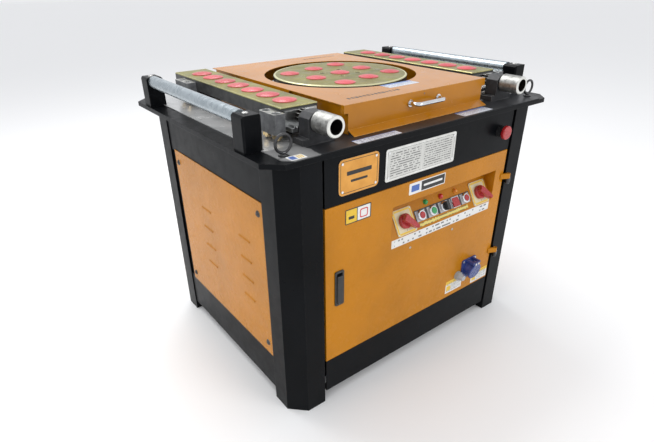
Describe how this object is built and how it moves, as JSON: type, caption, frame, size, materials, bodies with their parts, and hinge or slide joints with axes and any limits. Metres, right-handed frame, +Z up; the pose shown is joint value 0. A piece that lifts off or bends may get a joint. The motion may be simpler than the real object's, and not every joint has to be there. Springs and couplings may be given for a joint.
{
  "type": "rebar bender",
  "caption": "Floor-standing electric rebar bender: square cabinet with a hinged door, a thick table, a turning pin disc, sliding pin bars and feed rollers at the sides.",
  "frame": {"origin": "on the floor, under the middle of the whole machine's bounding box", "axes": "+X to the right along the door side, +Y from the door towards the back, +Z up"},
  "size_m": [1.006, 0.809, 0.8249],
  "materials": {
    "black_paint": "semi-gloss black paint",
    "amber_paint": "glossy amber paint",
    "cover_paint": "glossy amber paint",
    "olive_plate": "yellow passivated, ground",
    "cap_red": "moulded",
    "zinc_tube": "galvanised",
    "ground_steel": "ground",
    "black_cast": "painted casting",
    "machined_steel": "turned",
    "chrome_trim": "polished",
    "bolt_steel": "plated",
    "plate_amber": "printed sheet",
    "switch_cream": "moulded",
    "switch_red": "moulded",
    "switch_green": "moulded",
    "switch_black": "moulded",
    "lamp_amber": "moulded",
    "inlet_blue": "moulded",
    "gland_grey": "moulded",
    "belt_rubber": "matt",
    "motor_paint": "matt paint",
    "gear_steel": "hobbed",
    "box_paint": "powder coat"
  },
  "bodies": {
    "frame": {"corner_posts": "black_paint", "front_header": "black_paint", "frame_rails": "black_paint", "access_panels": "amber_paint", "panel_bolts": "bolt_steel", "base_frame": "black_paint", "table_top": "black_paint", "table_wear_sheet": "ground_steel", "roller_brackets": "black_paint", "lifting_eyes": "bolt_steel", "name_plates": "plate_amber", "emergency_stop_collar": "switch_black", "bar_slide_blocks": "black_cast", "adjuster_housings": "black_cast", "gearbox_housing": "black_cast", "gearbox_cover": "black_cast", "shaft_bearings": "bolt_steel", "motor": "motor_paint", "drive_belts": "belt_rubber", "electrical_box": "box_paint", "hinge_pins": "bolt_steel"},
    "disc": {"bending_disc": "olive_plate", "disc_caps": "cap_red", "disc_bolts": "bolt_steel", "stop_ring": "machined_steel", "main_shaft": "machined_steel", "output_gear": "gear_steel"},
    "countershaft": {"countershaft": "gear_steel"},
    "input_shaft": {"input_shaft": "gear_steel", "input_pulley": "black_cast"},
    "motor_shaft": {"motor_pulley": "black_cast"},
    "roller_left": {"roller_left": "zinc_tube"},
    "roller_right": {"roller_right": "zinc_tube"},
    "bar_left": {"pin_bar_left": "olive_plate", "bar_caps_left": "cap_red", "bar_lugs_left": "black_cast"},
    "bar_right": {"pin_bar_right": "olive_plate", "bar_caps_right": "cap_red", "bar_lugs_right": "black_cast"},
    "adjuster_left": {"adjuster_left": "machined_steel"},
    "adjuster_right": {"adjuster_right": "machined_steel"},
    "cover": {"top_cover": "cover_paint", "cover_handle": "chrome_trim"},
    "door": {"door": "amber_paint", "switch_plates": "switch_cream", "switch_bezels": "chrome_trim", "indicator_lamps": "lamp_amber", "latch_frame": "switch_black", "power_inlet": "inlet_blue", "cable_gland": "gland_grey"},
    "latch": {"door_latch": "switch_black"},
    "button_red_left": {"button_red_left": "switch_red"},
    "button_green": {"button_green": "switch_green"},
    "button_red_right": {"button_red_right": "switch_red"},
    "selector": {"selector_switch": "switch_black"},
    "rocker": {"rocker_switch": "switch_red"},
    "rotary_left": {"rotary_switch_left": "switch_red"},
    "rotary_right": {"rotary_switch_right": "switch_red"},
    "stop_button": {"emergency_stop_button": "switch_red"},
    "inlet_flap": {"inlet_flap": "inlet_blue"}
  },
  "joints": [
    {"name": "disc_spin", "type": "hinge", "parent": "frame", "child": "disc", "pos_m": [0.005, 0.017, 0.79], "axis": [0, 0, 1], "continuous": true},
    {"name": "countershaft_spin", "type": "hinge", "parent": "frame", "child": "countershaft", "pos_m": [-0.223, 0.017, 0.6], "axis": [0, 0, 1], "continuous": true},
    {"name": "input_spin", "type": "hinge", "parent": "frame", "child": "input_shaft", "pos_m": [-0.223, 0.189, 0.6], "axis": [0, 0, 1], "continuous": true},
    {"name": "motor_spin", "type": "hinge", "parent": "frame", "child": "motor_shaft", "pos_m": [0.205, 0.189, 0.47], "axis": [0, 0, 1], "continuous": true},
    {"name": "roller_spin_left", "type": "hinge", "parent": "frame", "child": "roller_left", "pos_m": [-0.477, 0.012, 0.808], "axis": [0, 1, 0], "continuous": true},
    {"name": "bar_slide_left", "type": "slide", "parent": "frame", "child": "bar_left", "axis": [1, 0, 0], "range_m": [-0.015, 0.015]},
    {"name": "adjuster_turn_left", "type": "hinge", "parent": "frame", "child": "adjuster_left", "pos_m": [-0.3295, -0.3, 0.791], "axis": [0, 1, 0], "range_deg": [-60, 60]},
    {"name": "roller_spin_right", "type": "hinge", "parent": "frame", "child": "roller_right", "pos_m": [0.477, 0.012, 0.808], "axis": [0, 1, 0], "continuous": true},
    {"name": "bar_slide_right", "type": "slide", "parent": "frame", "child": "bar_right", "axis": [1, 0, 0], "range_m": [-0.015, 0.015]},
    {"name": "adjuster_turn_right", "type": "hinge", "parent": "frame", "child": "adjuster_right", "pos_m": [0.3395, -0.3, 0.791], "axis": [0, 1, 0], "range_deg": [-60, 60]},
    {"name": "door_swing", "type": "hinge", "parent": "frame", "child": "door", "pos_m": [0.363, -0.379, 0.37], "axis": [0, 0, 1], "range_deg": [0, 110]},
    {"name": "latch_pull", "type": "hinge", "parent": "door", "child": "latch", "pos_m": [-0.307, -0.364, 0.401], "axis": [-1, 0, 0], "range_deg": [0, 28], "stiffness_Nm_per_rad": 0.05, "springref_deg": -17.19},
    {"name": "button_red_left_press", "type": "slide", "parent": "door", "child": "button_red_left", "axis": [0, 0.866, -0.5], "range_m": [0, 0.003], "stiffness_N_per_m": 300, "springref_m": -0.002},
    {"name": "button_green_press", "type": "slide", "parent": "door", "child": "button_green", "axis": [0, 0.866, -0.5], "range_m": [0, 0.003], "stiffness_N_per_m": 300, "springref_m": -0.002},
    {"name": "button_red_right_press", "type": "slide", "parent": "door", "child": "button_red_right", "axis": [0, 0.866, -0.5], "range_m": [0, 0.003], "stiffness_N_per_m": 300, "springref_m": -0.002},
    {"name": "selector_turn", "type": "hinge", "parent": "door", "child": "selector", "pos_m": [0.097, -0.3515, 0.47431], "axis": [0, -0.866, 0.5], "range_deg": [-45, 45]},
    {"name": "rocker_tip", "type": "hinge", "parent": "door", "child": "rocker", "pos_m": [0.145, -0.356, 0.47691], "axis": [1, 0, 0], "range_deg": [0, 9]},
    {"name": "rotary_turn_left", "type": "hinge", "parent": "door", "child": "rotary_left", "pos_m": [-0.065, -0.351, 0.47518], "axis": [0, -0.866, 0.5], "range_deg": [-45, 45]},
    {"name": "rotary_turn_right", "type": "hinge", "parent": "door", "child": "rotary_right", "pos_m": [0.259, -0.351, 0.47518], "axis": [0, -0.866, 0.5], "range_deg": [-45, 45]},
    {"name": "emergency_stop_press", "type": "slide", "parent": "frame", "child": "stop_button", "axis": [0, 1, 0], "range_m": [0, 0.005]},
    {"name": "cover_lift", "type": "hinge", "parent": "frame", "child": "cover", "pos_m": [0.005, 0.359, 0.748], "axis": [-1, 0, 0], "range_deg": [0, 70]},
    {"name": "inlet_flap_lift", "type": "hinge", "parent": "door", "child": "inlet_flap", "pos_m": [0.236, -0.3985, 0.253], "axis": [-1, 0, 0], "range_deg": [0, 100], "stiffness_Nm_per_rad": 0.03, "springref_deg": -22.92}
  ],
  "couplings": [
    {"joint": "countershaft_spin", "follows": "disc_spin", "ratio": -4.4286},
    {"joint": "input_spin", "follows": "disc_spin", "ratio": 22.776},
    {"joint": "motor_spin", "follows": "disc_spin", "ratio": 55.673},
    {"joint": "adjuster_turn_left", "follows": "bar_slide_left", "rad_per_m": -66.667},
    {"joint": "adjuster_turn_right", "follows": "bar_slide_right", "rad_per_m": -66.667}
  ]
}
